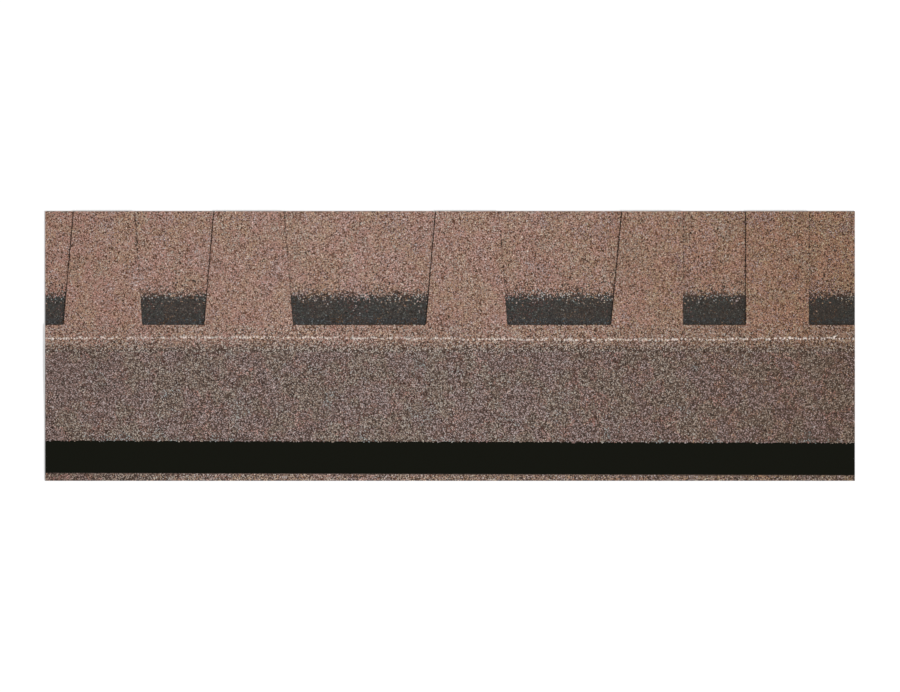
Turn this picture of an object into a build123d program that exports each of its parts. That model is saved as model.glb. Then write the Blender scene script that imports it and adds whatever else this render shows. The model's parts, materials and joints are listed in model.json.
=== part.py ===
from build123d import *
from math import atan, degrees, sin
import os

# One laminated asphalt shingle, lying face up on a level floor.
# Two sheets of coated glass mat are glued together: a toothed layer, whose cut-outs show the
# backing layer under it. A black release film runs along the face, near the head edge.
# X runs along the length, Y towards the butt edge that shows on the roof, and Z up.
# The origin is on the floor, under the middle of the outline. Lengths are in millimetres.

# The whole shingle
shingle_length = 1000.0
shingle_height = 333.0
toothed_thickness = 2.6
backing_thickness = 2.6

# Teeth, cut into the butt edge. A raked flank leans in by the flank rake, from root to tip.
cut_out_depth = 140.5
flank_rake = 12.0
root_corner_radius = 1.5

# Roots of each tooth, left and right, as shares of the length from the left end
tooth_root_shares = (
    (0.0228, 0.1199),
    (0.1967, 0.3060),
    (0.4706, 0.5708),
    (0.6991, 0.7877),
    (0.8656, 0.9431),
)

# Lean of each tooth's left and right flank, as shares of the flank rake
tooth_lean_shares = (
    (1.08, 0.83),
    (1.03, 0.97),
    (1.01, 0.93),
    (1.14, 0.0),
    (0.0, 0.0),
)

# Glued lap of the backing layer under the toothed layer, past the roots of the cut-outs
bond_lap = 32.0

# Release film, laid by the roll: it drifts towards the head edge along the length
film_width = 40.0
film_thickness = 0.3
film_head_gap = 8.4
film_drift = 2.8

# Flat stretch of the toothed layer between the film and the sag
head_land_margin = 6.0

# How far a cutting outline runs past the sheet
cut_overrun = 5.0

# Places that follow from those sizes
half_length = shingle_length / 2
butt_y = shingle_height / 2
head_y = butt_y - shingle_height
root_y = butt_y - cut_out_depth
backing_height = cut_out_depth + bond_lap
backing_head_y = butt_y - backing_height
film_bottom_y = head_y + film_head_gap
film_top_y = film_bottom_y + film_width
head_land_y = film_top_y + film_drift / 2 + head_land_margin

# Past the backing the toothed layer sags to the floor, in an S of two equal tangent arcs
sag_run = backing_head_y - head_land_y
sag_angle = 2 * atan(backing_thickness / sag_run)
sag_radius = sag_run / (2 * sin(sag_angle))


# Toothed layer: the sagging section runs the whole length, and the cut-outs leave the teeth
def flanks():
    """Root and tip of every flank along X, from the left end's overrun to the right end's."""
    ends = [(-half_length - cut_overrun,) * 2]
    for roots, leans in zip(tooth_root_shares, tooth_lean_shares):
        left_root, right_root = (share * shingle_length - half_length for share in roots)
        left_lean, right_lean = (share * flank_rake for share in leans)
        ends.append((left_root, left_root + left_lean))
        ends.append((right_root, right_root - right_lean))
    ends.append((half_length + cut_overrun,) * 2)
    return ends


with BuildPart() as toothed_layer:
    with BuildSketch(Plane.YZ) as section:
        with BuildLine() as underside:
            on_backing = Line((butt_y, backing_thickness), (backing_head_y, backing_thickness))
            crest = JernArc(on_backing @ 1, on_backing % 1, sag_radius, degrees(sag_angle))
            foot = JernArc(crest @ 1, crest % 1, sag_radius, -degrees(sag_angle))
            Line(foot @ 1, (head_y, 0))
            offset(amount=toothed_thickness, side=Side.RIGHT)
        make_face()
    extrude(amount=half_length, both=True)
    with BuildSketch(Plane.XY.offset(backing_thickness)) as cut_outs:
        sides = flanks()
        for (left_root, left_tip), (right_root, right_tip) in zip(sides[0::2], sides[1::2]):
            with BuildLine():
                Polyline(
                    (left_root, root_y),
                    (right_root, root_y),
                    (right_tip, butt_y),
                    (right_tip, butt_y + cut_overrun),
                    (left_tip, butt_y + cut_overrun),
                    (left_tip, butt_y),
                    close=True,
                )
            make_face()
        fillet(cut_outs.vertices().group_by(Axis.Y)[0], root_corner_radius)
    extrude(amount=toothed_thickness + cut_overrun, both=True, mode=Mode.SUBTRACT)

# Backing layer: a plain strip along the butt edge, flat on the floor
with BuildPart() as backing_layer:
    with BuildSketch() as backing_outline:
        with Locations((0, butt_y)):
            Rectangle(shingle_length, backing_height, align=(Align.CENTER, Align.MAX))
    extrude(amount=backing_thickness)

# Release strip: a thin film on the flat of the toothed layer's head
with BuildPart() as release_strip:
    with BuildSketch(Plane.XY.offset(toothed_thickness)) as film_outline:
        with BuildLine():
            Polyline(
                (-half_length, film_bottom_y + film_drift / 2),
                (half_length, film_bottom_y - film_drift / 2),
                (half_length, film_top_y - film_drift / 2),
                (-half_length, film_top_y + film_drift / 2),
                close=True,
            )
        make_face()
    extrude(amount=film_thickness)

os.makedirs("parts", exist_ok=True)

toothed_layer.part.label = "toothed_layer"
export_step(toothed_layer.part, "parts/toothed_layer.step")

backing_layer.part.label = "backing_layer"
export_step(backing_layer.part, "parts/backing_layer.step")

release_strip.part.label = "release_strip"
export_step(release_strip.part, "parts/release_strip.step")
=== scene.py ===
import json
import math

import bpy
import numpy as np
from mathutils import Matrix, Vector, noise
from mathutils.bvhtree import BVHTree


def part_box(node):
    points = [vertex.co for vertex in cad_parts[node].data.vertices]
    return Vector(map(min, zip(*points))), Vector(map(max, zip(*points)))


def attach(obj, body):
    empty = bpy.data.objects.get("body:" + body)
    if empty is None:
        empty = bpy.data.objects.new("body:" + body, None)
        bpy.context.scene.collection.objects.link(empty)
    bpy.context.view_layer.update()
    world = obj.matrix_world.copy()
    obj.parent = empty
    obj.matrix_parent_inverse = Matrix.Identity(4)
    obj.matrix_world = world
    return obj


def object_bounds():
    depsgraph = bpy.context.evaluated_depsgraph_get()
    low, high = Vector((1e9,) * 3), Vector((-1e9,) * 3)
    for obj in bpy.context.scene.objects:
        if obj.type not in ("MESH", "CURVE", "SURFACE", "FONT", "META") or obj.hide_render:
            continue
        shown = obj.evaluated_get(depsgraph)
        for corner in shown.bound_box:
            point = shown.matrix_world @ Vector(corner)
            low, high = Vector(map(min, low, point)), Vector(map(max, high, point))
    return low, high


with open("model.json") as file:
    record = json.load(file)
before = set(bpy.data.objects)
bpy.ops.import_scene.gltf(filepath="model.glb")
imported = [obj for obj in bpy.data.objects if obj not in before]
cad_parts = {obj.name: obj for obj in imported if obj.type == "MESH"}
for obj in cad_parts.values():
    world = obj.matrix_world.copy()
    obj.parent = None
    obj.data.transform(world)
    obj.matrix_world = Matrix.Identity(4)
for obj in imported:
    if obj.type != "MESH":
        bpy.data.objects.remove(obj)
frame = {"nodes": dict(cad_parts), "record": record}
cad_low, cad_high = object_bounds()


# Studio: a camera above the shingle, as in the photograph, so far off that both ends are seen square
# on. A soft key light from the right draws the edges of the teeth, and the sky and the floor are white.
# The shingle is about 810 of the picture's 900 pixels long, and its middle is the picture's middle.
class Wire:
    """A socket of a node tree. Sums on wires add Math nodes, and node() adds any other node."""

    def __init__(self, tree, socket=None):
        self.tree = tree
        self.socket = socket

    def node(self, kind, settings, sockets, output=0):
        added = self.tree.nodes.new(kind)
        for name, value in settings.items():
            if name == "stops":
                self.set_stops(added.color_ramp.elements, value)
            else:
                setattr(added, name, value)
        for name, value in sockets.items():
            if isinstance(value, Wire):
                self.tree.links.new(value.socket, added.inputs[name])
            else:
                added.inputs[name].default_value = value
        return Wire(self.tree, added.outputs[output] if added.outputs else None)

    def set_stops(self, elements, stops):
        while len(elements) < len(stops):
            elements.new(1.0)
        for element, (place, colour) in zip(elements, stops):
            element.position = place
            element.color = (*colour, 1.0)

    def maths(self, operation, *values):
        return self.node("ShaderNodeMath", {"operation": operation}, dict(enumerate(values)))

    def __add__(self, other):
        return self.maths("ADD", self, other)

    __radd__ = __add__

    def __sub__(self, other):
        return self.maths("SUBTRACT", self, other)

    def __rsub__(self, other):
        return self.maths("SUBTRACT", other, self)

    def __mul__(self, other):
        return self.maths("MULTIPLY", self, other)

    __rmul__ = __mul__

    def __truediv__(self, other):
        return self.maths("DIVIDE", self, other)

    def __rtruediv__(self, other):
        return self.maths("DIVIDE", other, self)


def new_finish(name):
    """A material with an empty tree, and a wire to build that tree from."""
    material = bpy.data.materials.new(name)
    material.use_nodes = True
    material.node_tree.nodes.clear()
    return material, Wire(material.node_tree)


def rays_that_show(tree):
    """1 for a ray from the camera, a reflection or a clear pane, and 0 for the light on a surface."""
    camera = tree.node("ShaderNodeLightPath", {}, {}, "Is Camera Ray")
    glossy = tree.node("ShaderNodeLightPath", {}, {}, "Is Glossy Ray")
    clear = tree.node("ShaderNodeLightPath", {}, {}, "Is Transmission Ray")
    return tree.maths("MINIMUM", camera + glossy + clear, 1.0)


picture_width_px = 900
shingle_width_px = 809.8
camera_height = 20.0
middle = (cad_low + cad_high) / 2
length = cad_high.x - cad_low.x
view_width = length * picture_width_px / shingle_width_px
camera_place = (middle.x, middle.y, cad_high.z + camera_height)
bpy.ops.object.camera_add(location=camera_place, rotation=(0, 0, 0))
camera = bpy.context.object
camera.name = "plan_camera"
camera.data.lens = camera.data.sensor_width * camera_height / view_width
bpy.context.scene.camera = camera
bpy.context.scene.view_settings.view_transform = "Standard"

key_share = 0.62
key_place = (2, 0, 3)
key_tilt = math.radians(31)
key_turn = math.radians(-25)
key_softness = math.radians(9)
bpy.ops.object.light_add(type="SUN", location=key_place, rotation=(0, key_tilt, key_turn))
key = bpy.context.object
key.name = "key_light"
key.data.energy = key_share * math.pi / math.cos(key_tilt)
key.data.angle = key_softness

sky_white = (1, 1, 1, 1)
sky_world = bpy.data.worlds.new("white_sky")
sky_world.use_nodes = True
sky_world.node_tree.nodes.clear()
bpy.context.scene.world = sky_world
sky = Wire(sky_world.node_tree)
fill_share = 1 - key_share
sky_strength = fill_share + rays_that_show(sky) * key_share
background = sky.node("ShaderNodeBackground", {}, {"Color": sky_white, "Strength": sky_strength})
sky.node("ShaderNodeOutputWorld", {}, {"Surface": background})

floor_side = 40.0
floor_drop = 0.0002
floor_white = (0.62, 0.62, 0.62, 1)
floor_lift = 0.44
floor_place = (middle.x, middle.y, cad_low.z - floor_drop)
bpy.ops.object.select_all(action="DESELECT")
bpy.ops.mesh.primitive_plane_add(size=floor_side, location=floor_place)
floor = bpy.context.object
floor.name = "floor"
floor_finish, paint = new_finish("pale_floor")
lift = rays_that_show(paint) * floor_lift
lift_colour = paint.node("ShaderNodeCombineColor", {}, {"Red": lift, "Green": lift, "Blue": lift})
floor_shader = paint.node(
    "ShaderNodeBsdfPrincipled",
    {},
    {"Base Color": floor_white, "Roughness": 0.9, "Emission Color": lift_colour, "Emission Strength": 1.0},
)
paint.node("ShaderNodeOutputMaterial", {}, {"Surface": floor_shader})
floor.data.materials.append(floor_finish)


# Coated sheets: both layers are glass mat soaked and coated with filled asphalt. The face is bedded
# with fine backfill between its granules, the die-cut edges show black asphalt with the mat as a pale
# line at mid depth, and the underside is dusted with sand so that it won't stick.
asphalt_black = (0.024, 0.015, 0.011, 1)
rose_fines = (0.395, 0.230, 0.175, 1)
lap_fines = (0.186, 0.131, 0.110, 1)
shadow_fines = (0.048, 0.046, 0.045, 1)
fines_scale = 1000.0
bare_below = 0.39
covered_above = 0.52
grit_scale = 2600.0
grit_gain = 2.4
grit_loss = 0.2
# Towards the right end the fines are darker and browner: partly painted shade, partly a browner tint
right_from_share = 0.55
right_from_x = cad_low.x + right_from_share * length
right_painted_shade_and_tint = (0.81, 0.765, 0.67, 1)
multiply = {"data_type": "RGBA", "blend_type": "MULTIPLY"}
level_least = 0.5

filler_scale = 1500.0
edge_stops = ((0.55, (0.016, 0.014, 0.013)), (0.72, (0.11, 0.10, 0.09)))
mat_colour = (0.16, 0.13, 0.10, 1)
mat_half = 0.16
mat_wander = 0.3
mat_wander_scale = 60.0

dust_scale = 700.0
dust_share = 0.6
dust_patch_scale = 14.0
dust_patch_share = 0.4
dust_stops = ((0.36, (0.026, 0.025, 0.024)), (0.60, (0.17, 0.16, 0.145)))
smooth_roughness = 0.75
dust_roughness = 0.2

cut_outs = frame["record"]["physics"]["openings"]
mounts = {mount["name"]: mount for mount in frame["record"]["mounts"]}
root_y = min(box["box_m"][0][1] for box in cut_outs)
nail_y = mounts["nail_line"]["pos_m"][1]
backing_low, backing_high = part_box("backing_layer")
film_low, film_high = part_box("release_strip")
backing_depth = backing_high.z - backing_low.z
toothed_depth = cad_high.z - backing_high.z
head_land_margin = 0.006
sag_foot_y = film_high.y + head_land_margin

# The rose-brown fines run out past the nail line, and start on the backing past the dark band
rose_full_past = 0.0005
rose_gone_past = 0.0165
blend_start_y = nail_y - rose_gone_past
blend_end_y = nail_y - rose_full_past
shadow_reach = 0.0370
shadow_fade = 0.009
shadow_fade_early = 0.004
fade_from_y = root_y + shadow_reach - shadow_fade_early
fade_to_y = fade_from_y + shadow_fade


def coat_sheet(node, underside, thickness, head_fines, mix_from, mix_to):
    """Gives a CAD sheet its face, cut edges and dusted underside.

    underside gives the height of the sheet's underside. Between the places mix_from and mix_to along Y
    the face goes over from the fines of its head to the rose-brown ones that show on the roof.
    """
    finish, paint = new_finish(node + "_asphalt")
    place = paint.node("ShaderNodeTexCoord", {}, {}, "Object")
    along = paint.node("ShaderNodeSeparateXYZ", {}, {"Vector": place}, "X")
    up_sheet = paint.node("ShaderNodeSeparateXYZ", {}, {"Vector": place}, "Y")
    height = paint.node("ShaderNodeSeparateXYZ", {}, {"Vector": place}, "Z")
    facing = paint.node("ShaderNodeNewGeometry", {}, {}, "Normal")
    upward = paint.node("ShaderNodeSeparateXYZ", {}, {"Vector": facing}, "Z")
    is_face = paint.maths("GREATER_THAN", upward, level_least)
    is_underside = paint.maths("LESS_THAN", upward, -level_least)

    def grain(scale, detail):
        settings = {"noise_dimensions": "3D"}
        return paint.node("ShaderNodeTexNoise", settings, {"Vector": place, "Scale": scale, "Detail": detail})

    def from_to(value, start, end):
        limits = {"Value": value, "From Min": start, "From Max": end}
        return paint.node("ShaderNodeMapRange", {}, limits)

    def mixed(factor, first, second):
        settings = {"data_type": "RGBA"}
        return paint.node("ShaderNodeMix", settings, {0: factor, 6: first, 7: second}, 2)

    fines = grain(fines_scale, 1.0)
    fines_colour = mixed(from_to(up_sheet, mix_from, mix_to), head_fines, rose_fines)
    face_colour = mixed(from_to(fines, bare_below, covered_above), asphalt_black, fines_colour)
    grit = grain(grit_scale, 1.0) * grit_gain - grit_loss
    grit_colour = paint.node("ShaderNodeCombineColor", {}, {"Red": grit, "Green": grit, "Blue": grit})
    face_colour = paint.node("ShaderNodeMix", multiply, {0: 1.0, 6: face_colour, 7: grit_colour}, 2)
    # Painted shade with a browner tint towards the right end
    to_right = from_to(along, right_from_x, cad_high.x)
    face_colour = paint.node("ShaderNodeMix", multiply, {0: to_right, 6: face_colour, 7: right_painted_shade_and_tint}, 2)

    filler = grain(filler_scale, 1.0)
    edge_colour = paint.node("ShaderNodeValToRGB", {"stops": edge_stops}, {0: filler})
    depth = (height - underside(paint, place)) / thickness
    wander = (grain(mat_wander_scale, 2.0) - 0.5) * mat_wander
    is_mat = paint.maths("LESS_THAN", paint.maths("ABSOLUTE", depth - 0.5 + wander), mat_half)
    edge_colour = mixed(is_mat * filler, edge_colour, mat_colour)

    dust = grain(dust_scale, 3.0) * dust_share + grain(dust_patch_scale, 3.0) * dust_patch_share
    dust_colour = paint.node("ShaderNodeValToRGB", {"stops": dust_stops}, {0: dust})

    colour = mixed(is_underside, mixed(is_face, edge_colour, face_colour), dust_colour)
    relief = paint.node("ShaderNodeBump", {}, {"Strength": 0.5, "Distance": 0.0004, "Height": fines})
    shader = paint.node(
        "ShaderNodeBsdfPrincipled",
        {},
        {
            "Base Color": colour,
            "Roughness": smooth_roughness + dust * dust_roughness,
            "Specular IOR Level": 0.25,
            "Normal": relief,
        },
    )
    paint.node("ShaderNodeOutputMaterial", {}, {"Surface": shader})
    frame["nodes"][node].data.materials.clear()
    frame["nodes"][node].data.materials.append(finish)


def flat_underside(paint, place):
    """The backing lies flat on the floor."""
    return cad_low.z


def sagging_underside(paint, place):
    """The toothed layer lies on the backing, and past it comes down to the floor in a smooth S."""
    up_sheet = paint.node("ShaderNodeSeparateXYZ", {}, {"Vector": place}, "Y")
    limits = {"From Min": sag_foot_y, "From Max": backing_low.y, "To Min": 0.0, "To Max": backing_depth}
    smooth = {"interpolation_type": "SMOOTHSTEP"}
    return paint.node("ShaderNodeMapRange", smooth, {"Value": up_sheet, **limits})


coat_sheet("backing_layer", flat_underside, backing_depth, shadow_fines, fade_from_y, fade_to_y)
coat_sheet("toothed_layer", sagging_underside, toothed_depth, lap_fines, blend_start_y, blend_end_y)


# Release strip: a black film pressed on to the warm asphalt along the head edge. It is smooth and
# nearly matt, and the granules under it show through as very shallow dimples.
film_black = ((0.30, (0.0047, 0.0050, 0.0028)), (0.75, (0.0053, 0.0056, 0.0032)))
film_roughness = 0.60
blush_roughness = 0.12
dimple_share = 0.6
ripple_share = 0.6
film_finish, paint = new_finish("black_release_film")
place = paint.node("ShaderNodeTexCoord", {}, {}, "Object")
blush = paint.node("ShaderNodeTexNoise", {}, {"Vector": place, "Scale": 24.0, "Detail": 4.0})
film_colour = paint.node("ShaderNodeValToRGB", {"stops": film_black}, {0: blush})
dimples = paint.node("ShaderNodeTexVoronoi", {"feature": "SMOOTH_F1"}, {"Vector": place, "Scale": 520.0})
ripples = paint.node("ShaderNodeTexNoise", {}, {"Vector": place, "Scale": 70.0, "Detail": 2.0})
film_height = dimples * dimple_share + ripples * ripple_share
film_relief = paint.node("ShaderNodeBump", {}, {"Strength": 0.6, "Distance": 0.0004, "Height": film_height})
film_shader = paint.node(
    "ShaderNodeBsdfPrincipled",
    {},
    {
        "Base Color": film_colour,
        "Roughness": film_roughness + blush * blush_roughness,
        "Specular IOR Level": 0.035,
        "Normal": film_relief,
    },
)
paint.node("ShaderNodeOutputMaterial", {}, {"Surface": film_shader})
frame["nodes"]["release_strip"].data.materials.clear()
frame["nodes"]["release_strip"].data.materials.append(film_finish)


# Granules: crushed rock with a fired ceramic colour, a little under 2 mm across. Each form is a chip
# with three or four sides and two points, or a wedge, with its corners knocked about. Every granule
# is a turned and stretched copy of one of these forms, half bedded in the asphalt.
rng = np.random.default_rng(20)
chip_sides = (3, 4, 3, 3, 4, 3, 3, 3, 4)
chip_point = 0.9
wedge_forms = 1
wedge_depth = 1.3
knock = 0.34
chip_forms = []


def keep_chip(seed):
    """Knocks the corners of the shape just added, keeps its points and triangles and removes it."""
    chip = bpy.context.object
    bpy.ops.object.mode_set(mode="EDIT")
    bpy.ops.mesh.select_all(action="SELECT")
    bpy.ops.transform.vertex_random(offset=knock, seed=seed)
    bpy.ops.mesh.quads_convert_to_tris()
    bpy.ops.mesh.normals_make_consistent(inside=False)
    bpy.ops.object.mode_set(mode="OBJECT")
    points = np.array([corner.co for corner in chip.data.vertices])
    triangles = np.array([face.vertices for face in chip.data.polygons])
    chip_forms.append((points - points.mean(0), triangles))
    bpy.data.objects.remove(chip)


for seed, sides in enumerate(chip_sides):
    bpy.ops.object.select_all(action="DESELECT")
    bpy.ops.mesh.primitive_cone_add(vertices=sides, radius1=1.0, radius2=0.0, depth=1.0)
    cone = bpy.context.object
    bpy.ops.object.mode_set(mode="EDIT")
    bpy.ops.mesh.select_all(action="DESELECT")
    bpy.ops.object.mode_set(mode="OBJECT")
    for face in cone.data.polygons:
        face.select = face.normal.z < -level_least
    bpy.ops.object.mode_set(mode="EDIT")
    bpy.ops.mesh.poke(offset=chip_point)
    bpy.ops.object.mode_set(mode="OBJECT")
    keep_chip(seed)
for seed in range(wedge_forms):
    bpy.ops.object.select_all(action="DESELECT")
    bpy.ops.mesh.primitive_cylinder_add(vertices=3, radius=1.0, depth=wedge_depth)
    keep_chip(len(chip_sides) + seed)

# Their colours: a pick of the palette is a shade, from black to white, and a tint. A dark granule has
# its tint deeper than a pale one.
palette_map = "OFBake"
shade_stops = (
    (0.0, (0.015, 0.014, 0.013)),
    (0.25, (0.189, 0.176, 0.165)),
    (0.5, (0.541, 0.573, 0.590)),
    (0.75, (0.688, 0.776, 0.822)),
    (0.94, (0.737, 0.832, 0.866)),
    (1.0, (1.000, 1.000, 1.000)),
)
tint_stops = (
    (0.0, (1.000, 0.690, 0.545)),
    (0.10, (0.600, 0.637, 0.670)),
    (0.20, (0.615, 0.645, 0.610)),
    (0.32, (0.837, 0.609, 0.520)),
    (0.45, (0.980, 0.576, 0.489)),
    (0.60, (0.907, 0.621, 0.434)),
    (0.72, (0.960, 0.580, 0.405)),
    (0.82, (0.865, 0.618, 0.395)),
    (0.91, (0.812, 0.628, 0.508)),
    (1.0, (0.834, 0.588, 0.556)),
)
tint_places = [place for place, _ in tint_stops]
paint_tint, ink, slate, taupe, pink, olive, russet, umber, khaki, plum = tint_places
rose = (pink + olive) / 2
rust = (russet + umber) / 2
depth_at_black = 2.15
depth_lost = 1.56
granule_finish, paint = new_finish("ceramic_granules")
pick = paint.node("ShaderNodeUVMap", {"uv_map": palette_map}, {})
shade_pick = paint.node("ShaderNodeSeparateXYZ", {}, {"Vector": pick}, "X")
tint_pick = paint.node("ShaderNodeSeparateXYZ", {}, {"Vector": pick}, "Y")
shade = paint.node("ShaderNodeValToRGB", {"stops": shade_stops}, {0: shade_pick})
tint = paint.node("ShaderNodeValToRGB", {"stops": tint_stops}, {0: tint_pick})
tint_depth = depth_at_black - shade_pick * depth_lost
deep_tint = paint.node("ShaderNodeGamma", {}, {"Color": tint, "Gamma": tint_depth})
granule_colour = paint.node("ShaderNodeMix", multiply, {0: 1.0, 6: shade, 7: deep_tint}, 2)
granule_shader = paint.node(
    "ShaderNodeBsdfPrincipled",
    {},
    {"Base Color": granule_colour, "Roughness": 0.6, "Specular IOR Level": 0.2},
)
paint.node("ShaderNodeOutputMaterial", {}, {"Surface": granule_shader})

# Their places: a grid of triangles a pitch wide, with each granule shaken off its corner. At the foot
# of a cut edge many are made nearly black, partly asphalt smear and partly painted shade in that
# corner. On the film only those pressed over its upper edge stay.
pitch = 0.0016
row_gap = pitch * math.sqrt(0.75)
shake = 0.4 * pitch
edge_room = 0.0002
step_most = 0.001
# Granules at the foot of a cut edge are made nearly black: partly asphalt smear, partly painted shade
smear_and_shade_room = 0.0012
smear_and_shade_share_root = 0.35
smear_and_shade_share_butt = 0.85
film_creep = 0.0011
film_clear = 0.0010
film_fringe = 0.009

sheet_points = []
sheet_faces = []
face_nodes = []
for name, node in frame["nodes"].items():
    first = len(sheet_points)
    sheet_points += [point.co for point in node.data.vertices]
    sheet_faces += [[first + corner for corner in face.vertices] for face in node.data.polygons]
    face_nodes += [name] * len(node.data.polygons)
sheets = BVHTree.FromPolygons(sheet_points, sheet_faces)
above = cad_high.z + 1.0
down = Vector((0, 0, -1))


def what_lies_at(x, y):
    """Height and name of the node that is uppermost at this place, or None off the shingle."""
    hit, _, face, _ = sheets.ray_cast(Vector((x, y, above)), down)
    return (hit.z, face_nodes[face]) if hit else (None, None)


def rises_round(x, y, z, reach):
    """How far the surface rises on four sides of this place. Off the shingle it falls right away."""
    rises = []
    for step_x, step_y in ((reach, 0), (-reach, 0), (0, reach), (0, -reach)):
        beside, _ = what_lies_at(x + step_x, y + step_y)
        rises.append(-above if beside is None else beside - z)
    return rises


columns = np.arange(cad_low.x, cad_high.x, pitch)
rows = np.arange(cad_low.y, cad_high.y, row_gap)
across, along = np.meshgrid(columns, rows)
across[1::2] += pitch / 2
spots = np.stack([across.ravel(), along.ravel()], 1)
spots += rng.uniform(-shake, shake, spots.shape)
creeps = rng.uniform(0, film_creep, len(spots))
fringes = rng.uniform(0, film_fringe, len(spots))
up_tooth = ((spots[:, 1] - root_y) / (cad_high.y - root_y)).clip(0, 1)
# More of them are darkened towards the butt edge, as asphalt smear and painted shade
smear_and_shade_share = smear_and_shade_share_root + (smear_and_shade_share_butt - smear_and_shade_share_root) * up_tooth
smear_and_shade_draws = rng.uniform(0, 1, len(spots)) < smear_and_shade_share
bedded = []
bedded_on = []
smeared_and_shaded = []
by_film = []
for (x, y), creep, fringe, smear_and_shade_draw in zip(spots, creeps, fringes, smear_and_shade_draws):
    z, node = what_lies_at(x, y)
    if node is None or min(rises_round(x, y, z, edge_room)) < -step_most:
        continue
    if node == "release_strip" and what_lies_at(x, y + creep)[1] != "toothed_layer":
        continue
    if node == "toothed_layer" and what_lies_at(x, y + film_clear)[1] == "release_strip":
        continue
    bedded.append((x, y, z))
    bedded_on.append("toothed_layer" if node == "release_strip" else node)
    smeared_and_shaded.append(smear_and_shade_draw and max(rises_round(x, y, z, smear_and_shade_room)) > step_most)
    by_film.append(what_lies_at(x, y - fringe)[1] == "release_strip")
bedded = np.array(bedded)
bedded_on = np.array(bedded_on)
smeared_and_shaded = np.array(smeared_and_shaded)
by_film = np.array(by_film)

# How they are laid: those of each zone are one joined mesh
chip_radius = 0.00096
chip_spread = 0.16
chip_flat = 0.36
stretch_least = 0.78
stretch_most = 1.18
# The pick for granules at the foot of a cut edge: nearly black, asphalt smear with painted shade
smear_and_shade_pick = (0.06, slate)
pick_least = 0.02
pick_most = 0.98
palette_spread = 0.004
palette_slant = (0.4, 0.7)


def lay_granules(name, chosen, picks, swell=1.0):
    """Makes one joined mesh of the chosen granules, each with its pick of the palette.

    swell makes them wider. At the shingle's ends and edges they are cut flush with the sheet.
    """
    places = bedded[chosen]
    # Granules at the foot of a cut edge take the nearly black pick: asphalt smear and painted shade
    picks = np.where(smeared_and_shaded[chosen][:, None], smear_and_shade_pick, picks).clip(pick_least, pick_most)
    count = len(places)
    form = rng.integers(0, len(chip_forms), count)
    size = chip_radius * np.exp(rng.normal(0, chip_spread, count))
    stretch = rng.uniform(stretch_least, stretch_most, (count, 3))
    turns = rng.normal(size=(count, 4))
    w, x, y, z = (turns / np.linalg.norm(turns, axis=1)[:, None]).T
    turn = np.stack(
        [
            np.stack([1 - 2 * (y * y + z * z), 2 * (x * y - z * w), 2 * (x * z + y * w)], 1),
            np.stack([2 * (x * y + z * w), 1 - 2 * (x * x + z * z), 2 * (y * z - x * w)], 1),
            np.stack([2 * (x * z - y * w), 2 * (y * z + x * w), 1 - 2 * (x * x + y * y)], 1),
        ],
        1,
    )
    points = []
    triangles = []
    palette_places = []
    first = 0
    for number, (chip, faces) in enumerate(chip_forms):
        mine = np.flatnonzero(form == number)
        shape = chip[None] * stretch[mine][:, None]
        shape = np.einsum("nij,nkj->nki", turn[mine], shape)
        shape *= size[mine][:, None, None] * np.array((swell, swell, chip_flat))
        shape += places[mine][:, None]
        points.append(shape.reshape(-1, 3))
        starts = first + np.arange(len(mine)) * len(chip)
        triangles.append((starts[:, None, None] + faces[None]).reshape(-1, 3))
        fan = (chip[:, :2] + chip[:, 2:] * palette_slant) * palette_spread
        palette_places.append((picks[mine][:, None] + fan[None]).reshape(-1, 2))
        first += len(mine) * len(chip)
    points = np.concatenate(points)
    points[:, :2] = points[:, :2].clip(cad_low[:2], cad_high[:2])
    triangles = np.concatenate(triangles)
    palette_places = np.concatenate(palette_places)
    mesh = bpy.data.meshes.new(name)
    mesh.vertices.add(len(points))
    mesh.vertices.foreach_set("co", points.astype(np.float32).ravel())
    mesh.loops.add(triangles.size)
    mesh.loops.foreach_set("vertex_index", triangles.astype(np.int32).ravel())
    mesh.polygons.add(len(triangles))
    mesh.polygons.foreach_set("loop_start", np.arange(0, triangles.size, 3, dtype=np.int32))
    mesh.update(calc_edges=True)
    palette = mesh.uv_layers.new(name=palette_map)
    palette.uv.foreach_set("vector", palette_places[triangles.ravel()].astype(np.float32).ravel())
    mesh.materials.append(granule_finish)
    piece = bpy.data.objects.new(name, mesh)
    bpy.context.scene.collection.objects.link(piece)
    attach(piece, "root")


# How their colours are drawn: each drift over the sheet has its own layer of the noise, so that none
# follows another
fine_patch = 0.012
wide_patch = 0.032
tone_patch = 0.045
tone_layer = 1.5
fine_tint_layer = 2.5
wide_tint_layer = 4.5
fine_accent_layer = 7.5
wide_accent_layer = 9.5
tone_sway = 0.05
tint_spread = 0.018
# Both ends of the sheet are darker: painted shade, as of light falling off towards them
right_painted_shade = 0.245
right_bend = 1.35
left_to_share = 0.25
left_painted_shade = 0.125


def drifts(places, span, layer):
    """A smooth value from about -1 to 1 that wanders over the sheet, with patches of about this span."""
    return np.array([noise.noise((x / span, y / span, layer)) for x, y, _ in places])


def chance(share):
    """True for about this share of the granules."""
    return rng.uniform(0, 1, len(share)) < share


def part_of(group, part):
    """Marks among all granules those of a group that are in this part of it."""
    marked = group.copy()
    marked[group] = part
    return marked


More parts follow.
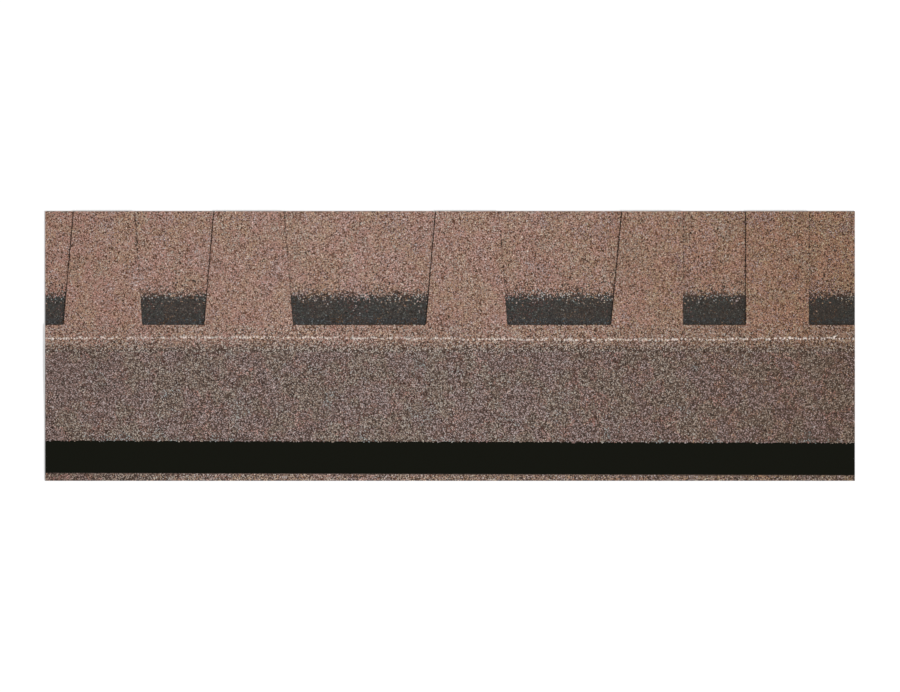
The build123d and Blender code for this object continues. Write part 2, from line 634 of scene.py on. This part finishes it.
def draw_blend(places, shades, tint, patchiness, right_tint, right_share, accent_share):
    """Picks of the palette for granules of a blend.

    shades lists the share, mean, spread and tint shift of each shade in the blend. The tint wanders by
    about the patchiness from patch to patch. Both ends are darker, a painted shade as of light falling
    off towards them, and up to right_share of the right end has the right tint. accent_share sets how
    much of a patch is khaki granules, or plum ones.
    """
    count = len(places)
    shares, means, spreads, shifts = np.array(shades).T
    kind = rng.choice(len(shades), count, p=shares / shares.sum())
    along = (places[:, 0] - cad_low.x) / length
    to_right = ((along - right_from_share) / (1 - right_from_share)).clip(0, 1)
    to_left = (1 - along / left_to_share).clip(0, 1)
    tone = tone_sway * drifts(places, tone_patch, tone_layer)
    # Painted shade: the granules darken towards both ends
    tone -= right_painted_shade * to_right**right_bend + left_painted_shade * to_left
    shade = rng.normal(means[kind], spreads[kind]) * (1 + tone)
    patches = drifts(places, fine_patch, fine_tint_layer) + drifts(places, wide_patch, wide_tint_layer)
    middle_tint = np.where(chance(right_share * to_right), right_tint, tint + shifts[kind])
    tint_pick = rng.normal(middle_tint + patchiness * patches, tint_spread)
    accents = drifts(places, fine_patch, fine_accent_layer) + drifts(places, wide_patch, wide_accent_layer)
    is_accent = chance(accent_share * abs(accents))
    tint_pick = np.where(is_accent, np.where(accents > 0, khaki, plum), tint_pick)
    return np.stack([shade, tint_pick], 1)


# Teeth: the face that shows on the roof, in a blend of rose-brown granules with some darker and some
# paler ones.
rose_blend = {
    "shades": ((0.55, 0.62, 0.09, 0.0), (0.27, 0.17, 0.08, 0.19), (0.18, 0.93, 0.07, 0.0)),
    "tint": rose,
    "patchiness": 0.14,
    "right_tint": rust,
    "right_share": 1.0,
    "accent_share": 0.62,
}
on_toothed = bedded_on == "toothed_layer"
is_tooth = on_toothed & (bedded[:, 1] > root_y)
picks = draw_blend(bedded[is_tooth], **rose_blend)
lay_granules("tooth_granules", is_tooth, picks)

# Backing: the same blend, with a band of nearly black granules along the roots of the cut-outs that
# makes them look deep. The band breaks up raggedly towards the butt edge, among pale granules.
dark_blend = {
    "shades": ((0.58, 0.20, 0.06, 0.0), (0.22, 0.08, 0.04, 0.0), (0.20, 0.32, 0.06, 0.0)),
    "tint": slate + 0.01,
    "patchiness": 0.05,
    "right_tint": slate,
    "right_share": 0.0,
    "accent_share": 0.5,
}
glint_blend = {
    "shades": ((1.0, 0.86, 0.08, 0.0),),
    "tint": slate + 0.03,
    "patchiness": 0.03,
    "right_tint": slate,
    "right_share": 0.0,
    "accent_share": 0.8,
}
# The backing granules are made a little paler: painted light against the shade of the teeth round them
backing_painted_light = 1.02
shadow_sway = 0.0018
shadow_sway_span = 0.018
shadow_sway_layer = 3.5
shadow_clump = 0.005
shadow_clump_span = 0.0050
shadow_clump_layer = 6.5
shadow_fray_in = 0.0036
shadow_fray_out = 0.0066
shadow_piece_reach = 0.056
glint_middle = 0.0345
glint_fray_in = 0.0050
glint_fray_out = 0.0080
glint_share = 0.13
lone_from = 0.034
lone_dark = 0.40
ink_reach = 0.008
is_backing = bedded_on == "backing_layer"
backing = bedded[is_backing]
from_root = backing[:, 1] - root_y
sway = drifts(backing * (1, 0, 0), shadow_sway_span, shadow_sway_layer)
clumps = drifts(backing, shadow_clump_span, shadow_clump_layer)
shadow_edge = shadow_reach + shadow_sway * sway + shadow_clump * clumps
shadow_fray = np.where(from_root < shadow_edge, shadow_fray_in, shadow_fray_out)
is_dark = chance(1 / (1 + np.exp((from_root - shadow_edge) / shadow_fray)))
glint_fray = np.where(from_root < glint_middle, glint_fray_in, glint_fray_out)
is_glint = chance(glint_share * np.exp(-(((from_root - glint_middle) / glint_fray) ** 2)))
# Painted light: the backing's rose granules are lifted a little
picks = draw_blend(backing, **rose_blend) * (backing_painted_light, 1)
dark_picks = draw_blend(backing, **dark_blend)
dark_picks[:, 1] -= np.where(from_root < ink_reach, slate - ink, 0)
dark_picks[:, 0] *= np.where(from_root > lone_from, lone_dark, 1)
picks = np.where(is_dark[:, None], dark_picks, picks)
picks = np.where(is_glint[:, None], draw_blend(backing, **glint_blend), picks)
in_shadow = from_root < shadow_piece_reach
lay_granules("backing_granules", part_of(is_backing, ~in_shadow), picks[~in_shadow])
lay_granules("shadow_band_granules", part_of(is_backing, in_shadow), picks[in_shadow])

# Head lap: the part that the next course covers, in a cheaper grey-brown blend. Where the rose-brown
# blend runs out, past the nail line, the two mix coarsely. A strip of the rose-brown blend comes back
# past the film, along the head edge, except at its left end.
lap_blend = {
    "shades": ((0.32, 0.455, 0.10, 0.0), (0.35, 0.075, 0.045, 0.13), (0.33, 0.78, 0.10, -0.02)),
    "tint": taupe + 0.03,
    "patchiness": 0.105,
    "right_tint": olive,
    "right_share": 0.24,
    "accent_share": 2.6,
}
coarse_blend = {
    "shades": ((0.54, 0.075, 0.045, 0.0), (0.46, 0.89, 0.09, 0.0)),
    "tint": khaki,
    "patchiness": 0.0,
    "right_tint": khaki,
    "right_share": 0.0,
    "accent_share": 0.0,
}
rose_most = 0.66
nail_shift = 0.03
fringe_lift = 0.05
fringe_shift = 0.07
film_slope_room = 0.004
head_rose_most = 0.88
head_mix_from = 0.07
head_mix_over = 0.17
head_lift = 1.03
head_shift = 0.08
head_left_share = 0.13
head_left_shift = 0.20
head_left_dark = 0.17
is_lap = on_toothed & ~is_tooth
lap = bedded[is_lap]
past_film = lap[:, 1] < film_low.y + film_slope_room
along_lap = (lap[:, 0] - cad_low.x) / length
rose_share = rose_most * ((lap[:, 1] - blend_start_y) / (blend_end_y - blend_start_y)).clip(0, 1)
head_rose_share = head_rose_most * ((along_lap - head_mix_from) / head_mix_over).clip(0, 1)
rose_share = np.where(past_film, head_rose_share, rose_share)
is_rose = chance(rose_share)
is_mixed = (rose_share > 0) & ~is_rose
picks = draw_blend(lap, **lap_blend)
picks = np.where(is_mixed[:, None], draw_blend(lap, **coarse_blend), picks)
rose_picks = draw_blend(lap, **rose_blend)
rose_picks[:, 1] += np.where(past_film, head_shift, nail_shift)
rose_picks[:, 0] *= np.where(past_film, head_lift, 1)
head_left = past_film * (1 - along_lap / head_left_share).clip(0, 1)
picks[:, 0] *= 1 - head_left_dark * (head_left > 0)
picks[:, 1] += head_left_shift * head_left * (picks[:, 1] < russet)
picks = np.where(is_rose[:, None], rose_picks, picks)
is_fringe = by_film[is_lap] & (picks[:, 1] < russet)
picks += np.where(is_fringe[:, None], (fringe_lift, -fringe_shift), 0)
picks[:, 1] = picks[:, 1].clip(slate, None)

# Nail line: dots of pale paint on the head lap, which show where the nails go. Each dot is a painted
# granule, wider than the others and no higher. The gaps between them come by chance, and the line
# wanders a little on its way along the sheet.
line_half = 0.0011
line_wander = 0.0013
line_wander_length = 0.93
dot_gap_least = 0.0018
dot_gap_more = 0.0014
dot_swell = 2.25
paint_shade = 1.0
paint_shade_spread = 0.03
paint_tint_spread = 0.01
line_y = nail_y + line_wander * np.sin((lap[:, 0] - cad_low.x) * 2 * math.pi / line_wander_length)
by_line = np.flatnonzero(abs(lap[:, 1] - line_y) < line_half)
is_painted = np.zeros(len(lap), bool)
next_x = cad_low.x
for number in by_line[np.argsort(lap[by_line, 0])]:
    if lap[number, 0] > next_x:
        is_painted[number] = True
        next_x = lap[number, 0] + dot_gap_least + rng.exponential(dot_gap_more)
paint_shades = rng.normal(paint_shade, paint_shade_spread, len(lap))
paint_tints = rng.normal(paint_tint, paint_tint_spread, len(lap))
paint_picks = np.stack([paint_shades, paint_tints], 1)[is_painted]
lay_granules("nail_line_granules", part_of(is_lap, is_painted), paint_picks, dot_swell)

# The rest of the head lap, laid as four meshes: by the nails, two halves below them, and the head edge
by_nails = (lap[:, 1] > blend_start_y) & ~is_painted
below = (lap[:, 1] <= blend_start_y) & ~past_film
on_left = lap[:, 0] < middle.x
lap_pieces = {
    "nail_zone_granules": by_nails,
    "head_lap_granules_left": below & on_left,
    "head_lap_granules_right": below & ~on_left,
    "head_edge_granules": past_film,
}
for name, part in lap_pieces.items():
    lay_granules(name, part_of(is_lap, part), picks[part])
